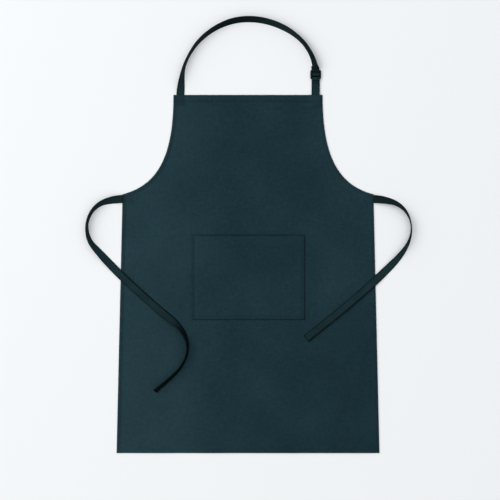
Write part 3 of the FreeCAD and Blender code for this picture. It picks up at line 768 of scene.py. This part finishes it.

# ------------------------------------------------------------------ waist ties

# The tapes' painted light and shade along their run: darker where their face turns away from the light and
# at an edge that meets the cloth, lighter in a few lit stretches. Rows are as tape() reads them.
TIE_TONES = {
    "left": [
        (0, 0.90, 0.65, 0.65), (60, 0.86, 0.60, 0.60), (120, 0.86, 0.60, 0.60), (170, 0.90, 0.65, 0.65),
        (215, 1.05, 0.60, 0.75), (245, 1.02, 0.26, 0.72), (300, 0.95, 0.26, 0.64), (385, 0.90, 0.24, 0.58),
        (420, 0.88, 0.16, 0.55), (445, 0.88, 0.08, 0.60), (462, 0.78, 0.18, 0.70), (476, 0.48, 0.18, 0.80),
        (490, 0.32, 0.18, 0.75), (600, 0.28, 0.16, 0.55), (650, 0.28, 0.16, 0.50), (671, 0.32, 0.20, 0.50),
    ],
    "right": [
        (0, 0.65, 0.45, 0.45), (50, 0.55, 0.38, 0.38), (90, 0.65, 0.45, 0.45), (130, 0.85, 0.60, 0.60),
        (170, 0.95, 0.65, 0.65), (220, 1.35, 0.80, 0.90), (240, 1.25, 0.35, 0.80), (265, 1.10, 0.22, 0.60),
        (300, 0.95, 0.20, 0.52), (470, 0.88, 0.20, 0.50), (522, 0.85, 0.20, 0.50),
    ],
}
# The neck strap's painted light and shade along its run: darker where its face turns away from the light.
NECK_TONES = [
    (0, 1.15, 0.75, 0.75), (90, 1.0, 0.70, 0.70), (150, 0.8, 0.55, 0.55), (200, 0.5, 0.35, 0.35),
    (270, 0.38, 0.25, 0.25), (320, 0.55, 0.38, 0.38), (370, 0.80, 0.45, 0.60), (420, 0.62, 0.38, 0.45),
    (440, 0.45, 0.28, 0.30), (460, 0.42, 0.28, 0.28), (500, 0.5, 0.30, 0.30), (530, 0.8, 0.5, 0.5),
]
# Where the strap dips through the slider's slots, and along the tab's two rows of thread, it is in shade.
THREADED_TONES = [
    (0, 0.25, 0.2, 0.2), (4.5, 0.35, 0.2, 0.2), (7.5, 0.95, 0.6, 0.6), (12.5, 0.95, 0.6, 0.6),
    (14.0, 0.25, 0.2, 0.2), (25.0, 0.25, 0.2, 0.2),
]
TAB_TONES = [
    (0, 1.0, 0.7, 0.7), (76.0, 1.0, 0.7, 0.7), (78.5, 0.30, 0.3, 0.3), (80.5, 0.9, 0.6, 0.6),
    (82.6, 0.9, 0.6, 0.6), (83.9, 0.50, 0.4, 0.4), (85.2, 0.9, 0.6, 0.6), (86.7, 0.50, 0.4, 0.4),
    (88.0, 1.0, 0.7, 0.7), (150.0, 1.0, 0.7, 0.7),
]
# Distances from the middle line: a tie's sewn end runs between the first two, its free part from the third.
SEWN_FROM, SEWN_TO, FREE_FROM = 288.6, 311.5, 311.6
for name, plan, lean, sign, length in (
    ("left", left_plan, left_lean, -1, 0.670),
    ("right", right_plan, right_lean, 1, 0.522),
):
    ground = ground_below(plan, lean)
    centres, across = rest_on(plan, lean, ground)
    start = np.array([[sign * FREE_FROM, TIE_Y + 0.1, centres[0, 2]]])
    centres = np.concatenate([start, centres])
    across = np.concatenate([across[:1], across])
    obj = tape(f"tie_{name}", centres, across, thick_at=ends_doubled, tones=TIE_TONES[name], end=True)
    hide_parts(f"waist_tie_{name}")
    # the row of thread across the turned end, on both faces
    last, before = centres[-1], centres[-2]
    ahead = (last - before) / np.linalg.norm(last - before)
    wide = across[-1] - ahead * (across[-1] @ ahead)
    wide /= np.linalg.norm(wide)
    up = np.cross(ahead, wide)
    middle = last - ahead * 8.0
    faces_of = []
    for face in (1, -1):
        row = [middle - wide * 8.2 + up * face * 0.86, middle + wide * 8.2 + up * face * 0.86]
        faces_of.append(stitches(f"end_row_{face}", row, SHORT_STITCH, None, up=up * face))
    seam_obj = joined(f"tie_{name}_end_seam", faces_of, [f"waist_tie_{name}_end_stitching"])
    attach(seam_obj, f"tie_{name}")
    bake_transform(obj)
    sewn_line = [(x, TIE_Y, HALF_THICK) for x in np.linspace(sign * SEWN_FROM, sign * SEWN_TO, 9)]
    sewn = tape(f"tie_{name}_sewn", sewn_line, [(0, -sign, 0)] * 9, thickness=0.9, width=19.9)
    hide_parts(f"waist_tie_{name}_sewn_end")
    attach(sewn, "apron")

# ------------------------------------------------------------------ neck strap

centres, across = rest_on(neck_plan, neck_lean, neck_plan[:, 2])
# The strap goes on under the slider's upper bar, over its middle bar and down through the lower slot.
threading = np.array([
    (0, 507.6, 1.8), (0, 505.4, 1.8), (0, 502.4, 3.6), (0, 499.6, 5.2), (0, 495.2, 5.25), (0, 494.2, 4.6),
    (0, 493.0, 2.6), (0, 491.4, 0.75), (0, 489.4, 0.52), (0, 486.9, 0.5),
]) + (STRAP_X, 0, 0)
# The strap's left end, from behind the cloth to past the fold, is a piece of its own.
PAST_FOLD = 474.0
split = int(np.searchsorted(centres[:, 1], PAST_FOLD))
behind_cloth = [(-STRAP_X, y, HALF_THICK) for y in (422.6, 430, 438, 444, 447.6)]
root_line = np.concatenate([behind_cloth, centres[: split + 1]])
root_across = np.concatenate([[(-1, 0, 0)] * len(behind_cloth), across[: split + 1]])
neck_root = tape("neck_strap_root", root_line, root_across, width=19.9, tones=NECK_TONES)
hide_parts("neck_strap_sewn_end")
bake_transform(neck_root)

neck = tape("neck_strap_loop", centres[split:], across[split:], start_run=neck_run[split], tones=NECK_TONES)
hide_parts("neck_strap")
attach(neck, "neck_loop")
thread_line, _, _ = evenly(threading, np.zeros(len(threading)), 0.8)
through = tape(
    "neck_strap_threaded", thread_line, [(1, 0, 0)] * len(thread_line), width=20.6, thickness=0.9,
    tones=THREADED_TONES,
)
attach(through, "neck_loop")

tail_y = np.linspace(487.2, 470.9, 18)
tail_line = [(STRAP_X, y, HALF_THICK) for y in tail_y]
tail = tape("neck_strap_end", tail_line, [(1, 0, 0)] * len(tail_line), thickness=0.95)
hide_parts("neck_strap_tail")
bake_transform(tail)

# ------------------------------------------------------------------ buckle tab

# The tab in profile, as y and z: its lower layer, its turn round the slider's lower bar, and its upper layer.
TAB_TURN_Y, TAB_TURN_Z, TAB_TURN_RADIUS = 489.6, 3.5, 1.7
tab_profile = [(423.0, 1.8), (440, 1.8), (448.0, 1.8), (470, 1.8), (485, 1.8), (TAB_TURN_Y, 1.8)]
for k in range(1, 12):
    angle = -math.pi / 2 + math.pi * k / 12
    tab_profile.append((
        TAB_TURN_Y + TAB_TURN_RADIUS * math.cos(angle), TAB_TURN_Z + TAB_TURN_RADIUS * math.sin(angle),
    ))
tab_profile += [
    (TAB_TURN_Y, 5.2), (486.9, 5.2), (485.6, 4.95), (482.4, 3.6), (480.6, 2.95), (479.2, 2.8), (470, 2.8),
    (456, 2.8), (448.0, 2.8), (440, 2.8), (423.0, 2.8),
]
tab_line = np.array([(STRAP_X, y, z) for y, z in tab_profile])
tab_points, _, _ = evenly(tab_line, np.zeros(len(tab_line)), 0.9)
tab = tape("tab", tab_points, [(1, 0, 0)] * len(tab_points), width=20.4, thickness=0.96, tones=TAB_TONES)
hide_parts("buckle_tab", "buckle_tab_sewn_end")
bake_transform(tab)


def tab_top(p):
    """The height of the tab's upper face, at each point."""
    return np.full(len(p), 3.27)


tab_rows = [
    stitches(f"tab_row_{y}", [(STRAP_X - 8.4, y), (STRAP_X + 8.4, y)], SHORT_STITCH, tab_top)
    for y in (478.0, 475.2)
]
tab_seam = joined("tab_seam", tab_rows, ["buckle_tab_stitching"])
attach(tab_seam, "neck_loop")

# An axis square to the line between the loop's two ends, and a mesh of the loop's own.
flat_axis = Vector((centres[-1] - centres[split]).tolist()).to_2d().orthogonal().normalized()
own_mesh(neck)

# ------------------------------------------------------------------ materials


def linear(c):
    """A colour channel as light, from its sRGB value out of 255."""
    return ((c / 255 + 0.055) / 1.055) ** 2.4 if c > 10 else c / 255 / 12.92


def srgb(r, g, b):
    return (linear(r), linear(g), linear(b), 1.0)


def new_material(name, coordinates):
    """A material, its node tree, its shader and one of its texture coordinates."""
    mat = bpy.data.materials.new(name)
    mat.use_nodes = True
    tree = mat.node_tree
    coords = node(tree, "ShaderNodeTexCoord").outputs[coordinates]
    return mat, tree, tree.nodes["Principled BSDF"], coords


def node(tree, kind, **sockets):
    """A node with its properties and sockets set by name."""
    n = tree.nodes.new(kind)
    for key, value in sockets.items():
        if key in n.bl_rna.properties and key not in n.inputs:
            setattr(n, key, value)
        else:
            n.inputs[key].default_value = value
    return n


def link(tree, a, b):
    tree.links.new(a, b)


def noise(tree, coords, **sockets):
    n = node(tree, "ShaderNodeTexNoise", **sockets)
    link(tree, coords, n.inputs["Vector"])
    return n.outputs["Fac"]


def bands(tree, coords, direction, **sockets):
    n = node(tree, "ShaderNodeTexWave", wave_type="BANDS", bands_direction=direction, **sockets)
    link(tree, coords, n.inputs["Vector"])
    return n.outputs["Fac"]


def maths(tree, operation, a, b):
    """The output of a Math node; a and b are outputs or numbers."""
    n = tree.nodes.new("ShaderNodeMath")
    n.operation = operation
    for socket, value in zip(n.inputs, (a, b)):
        if isinstance(value, float):
            socket.default_value = value
        else:
            link(tree, value, socket)
    return n.outputs[0]


def mixed(tree, *shares):
    """The sum of outputs, each times its share."""
    parts = [maths(tree, "MULTIPLY", output, share) for output, share in shares]
    total = parts[0]
    for part in parts[1:]:
        total = maths(tree, "ADD", total, part)
    return total


def ramp(tree, value, stops):
    """The colour at a value, between (value, colour) stops."""
    n = tree.nodes.new("ShaderNodeValToRGB")
    while len(n.color_ramp.elements) < len(stops):
        n.color_ramp.elements.new(0.5)
    for element, (position, colour) in zip(n.color_ramp.elements, stops):
        element.position = position
        element.color = colour
    link(tree, value, n.inputs[0])
    return n.outputs[0]


def with_painted_shading(tree, colour):
    """A colour times the mesh's attribute of painted light and shade."""
    shaded = node(tree, "ShaderNodeVectorMath", operation="MULTIPLY")
    link(tree, colour, shaded.inputs[0])
    link(tree, node(tree, "ShaderNodeAttribute", attribute_name="painted_shading").outputs["Fac"], shaded.inputs[1])
    return shaded.outputs[0]


def add_bump(tree, shader, height, strength, distance):
    bump = node(tree, "ShaderNodeBump", Strength=strength, Distance=distance)
    link(tree, height, bump.inputs["Height"])
    link(tree, bump.outputs["Normal"], shader.inputs["Normal"])


def canvas_material():
    """Plain-woven canvas: mottled and clouded in tone, with yarns of uneven thickness both ways."""
    mat, tree, shader, coords = new_material("canvas", "UV")
    warp = bands(tree, coords, "X", Scale=330.0, Distortion=1.2)
    weft = bands(tree, coords, "Y", Scale=330.0, Distortion=1.2)
    slub = noise(tree, coords, Scale=420.0, Detail=3.0, Roughness=0.6)
    mottle = noise(tree, coords, Scale=110.0, Detail=4.0, Roughness=0.65)
    cloud = noise(tree, coords, Scale=7.0, Detail=3.0, Roughness=0.5)
    weave = maths(tree, "MULTIPLY", warp, weft)
    tone = mixed(tree, (mottle, 0.40), (cloud, 0.45))
    for across, along in ((45.0, 420.0), (420.0, 45.0)):
        stretch = node(tree, "ShaderNodeMapping", Scale=(across, along, 1.0))
        link(tree, coords, stretch.inputs["Vector"])
        yarns = noise(tree, stretch.outputs["Vector"], Scale=1.0, Detail=2.0, Roughness=0.5)
        uneven = maths(tree, "MULTIPLY", maths(tree, "SUBTRACT", yarns, 0.35), 0.25)
        tone = maths(tree, "ADD", tone, uneven)
    tone = mixed(tree, (tone, 0.8), (slub, 0.2))
    # painted light and shade: the cloth's colour is lighter towards the left
    tone = maths(tree, "ADD", tone, node(tree, "ShaderNodeAttribute", attribute_name="painted_light_gradient").outputs["Fac"])
    colour = ramp(tree, tone, [
        (0.34, srgb(19, 39, 46)), (0.50, srgb(25, 46.5, 53.5)), (0.66, srgb(32, 54, 61)),
        (0.82, srgb(39, 61.5, 68.5)),
    ])
    # painted shade along the seams and round the pocket multiplies the colour
    link(tree, with_painted_shading(tree, colour), shader.inputs["Base Color"])
    add_bump(tree, shader, mixed(tree, (weave, 0.7), (slub, 0.5)), 0.35, 0.0004)
    shader.inputs["Roughness"].default_value = 0.92
    shader.inputs["Specular IOR Level"].default_value = 0.07
    shader.inputs["Sheen Weight"].default_value = 0.02
    shader.inputs["Sheen Roughness"].default_value = 0.5
    shader.inputs["Sheen Tint"].default_value = srgb(150, 175, 185)
    return mat


def tape_material():
    """Herringbone-like woven tape: fine ribs along it and finer ones slanting across it."""
    mat, tree, shader, coords = new_material("webbing", "UV")
    ribs = bands(tree, coords, "X", Scale=240.0, Distortion=0.3)
    slant = bands(tree, coords, "DIAGONAL", Scale=300.0, Distortion=0.5)
    fuzz = noise(tree, coords, Scale=260.0, Detail=3.0)
    broad = noise(tree, coords, Scale=24.0, Detail=2.0)
    weave = mixed(tree, (ribs, 0.4), (slant, 0.6))
    tone = mixed(tree, (weave, 0.25), (fuzz, 0.35), (broad, 0.4))
    colour = ramp(tree, tone, [(0.30, srgb(17, 34, 38)), (0.50, srgb(26, 44, 48)), (0.72, srgb(35, 55, 59))])
    # painted light and shade along the tape's run multiplies the colour
    link(tree, with_painted_shading(tree, colour), shader.inputs["Base Color"])
    add_bump(tree, shader, weave, 0.5, 0.0004)
    shader.inputs["Roughness"].default_value = 0.72
    shader.inputs["Specular IOR Level"].default_value = 0.02
    return mat


def thread_material():
    """Twisted sewing thread, a little darker than the cloth."""
    mat, tree, shader, coords = new_material("thread", "Object")
    twist = bands(tree, coords, "DIAGONAL", Scale=800.0)
    fuzz = noise(tree, coords, Scale=300.0, Detail=2.0)
    tone = mixed(tree, (twist, 0.3), (fuzz, 0.7))
    colour = ramp(tree, tone, [(0.3, srgb(13, 26, 32)), (0.7, srgb(24, 42, 49))])
    link(tree, colour, shader.inputs["Base Color"])
    add_bump(tree, shader, twist, 0.4, 0.0002)
    shader.inputs["Roughness"].default_value = 0.6
    shader.inputs["Specular IOR Level"].default_value = 0.2
    return mat


def plastic_material():
    """Dark moulded plastic with a fine grain."""
    mat, tree, shader, coords = new_material("slider_plastic", "Object")
    grain = noise(tree, coords, Scale=900.0, Detail=3.0)
    broad = noise(tree, coords, Scale=90.0, Detail=2.0)
    colour = ramp(tree, broad, [(0.3, srgb(12, 24, 26)), (0.7, srgb(19, 33, 36))])
    link(tree, colour, shader.inputs["Base Color"])
    rough = maths(tree, "ADD", maths(tree, "MULTIPLY", grain, 0.16), 0.30)
    link(tree, rough, shader.inputs["Roughness"])
    add_bump(tree, shader, grain, 0.12, 0.0001)
    shader.inputs["Specular IOR Level"].default_value = 0.06
    return mat


MATERIALS = {
    "canvas": canvas_material(),
    "webbing": tape_material(),
    "thread": thread_material(),
    "slider_plastic": plastic_material(),
}
for obj in list(bpy.context.scene.objects):
    if obj.type == "MESH" and "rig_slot" in obj:
        obj.data.materials.clear()
        obj.data.materials.append(MATERIALS[obj["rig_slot"]])
for name, cad in frame["nodes"].items():
    if not cad.hide_render:
        slot_name = next(s["material_slot"] for s in frame["record"]["subparts"] if s["node"] == name)
        cad.data.materials.clear()
        cad.data.materials.append(MATERIALS[slot_name])

# ------------------------------------------------------------------ floor, light and camera

FLOOR_HALF, FLOOR_Z = 9000, -0.4
corners = [(x * FLOOR_HALF, y * FLOOR_HALF, FLOOR_Z) for x, y in ((-1, -1), (1, -1), (1, 1), (-1, 1))]
floor = mesh_object("floor", corners, [(0, 1, 2, 3)])
floor_mat = bpy.data.materials.new("floor")
floor_mat.use_nodes = True
shader = floor_mat.node_tree.nodes["Principled BSDF"]
shader.inputs["Base Color"].default_value = (0.86, 0.87, 0.88, 1)
shader.inputs["Roughness"].default_value = 0.9
shader.inputs["Specular IOR Level"].default_value = 0.1
floor.data.materials.append(floor_mat)

scene = bpy.context.scene
scene.view_settings.view_transform = "Standard"
world = bpy.data.worlds.new("studio")
scene.world = world
world.use_nodes = True
sky = world.node_tree
split_direction = node(sky, "ShaderNodeSeparateXYZ")
link(sky, node(sky, "ShaderNodeTexCoord").outputs["Generated"], split_direction.inputs[0])
# brightest overhead and a little brighter to the left than to the right
overhead = maths(sky, "MAXIMUM", split_direction.outputs["Z"], 0.0)
upward = maths(sky, "ADD", maths(sky, "MULTIPLY", overhead, 0.92), 0.30)
tilt = mixed(sky, (split_direction.outputs["Y"], 0.22), (split_direction.outputs["X"], -0.50))
sideways = maths(sky, "ADD", tilt, 1.0)
background = sky.nodes["Background"]
background.inputs[0].default_value = (0.975, 0.99, 1.0, 1)
link(sky, maths(sky, "MULTIPLY", upward, sideways), background.inputs[1])


def area_light(name, place, aim, size, power):
    light = bpy.data.lights.new(name, "AREA")
    light.shape = "SQUARE"
    light.size = size
    light.energy = power
    obj = bpy.data.objects.new(name, light)
    scene.collection.objects.link(obj)
    obj.location = place
    obj.rotation_euler = (Vector(aim) - Vector(place)).to_track_quat("-Z", "Y").to_euler()
    obj.visible_camera = False


area_light("key", place=(-3.4, 1.5, 3.0), aim=(0, 0.05, 0), size=2.6, power=58)

# A camera that isn't turned looks straight down.
CAMERA_HEIGHT, VIEW_WIDTH = 3.2, 1.25
camera = bpy.data.cameras.new("camera")
camera.sensor_width = 36
camera.lens = camera.sensor_width * CAMERA_HEIGHT / VIEW_WIDTH
camera_obj = bpy.data.objects.new("camera", camera)
scene.collection.objects.link(camera_obj)
camera_obj.location = (0.005, 0.060, CAMERA_HEIGHT)
scene.camera = camera_obj
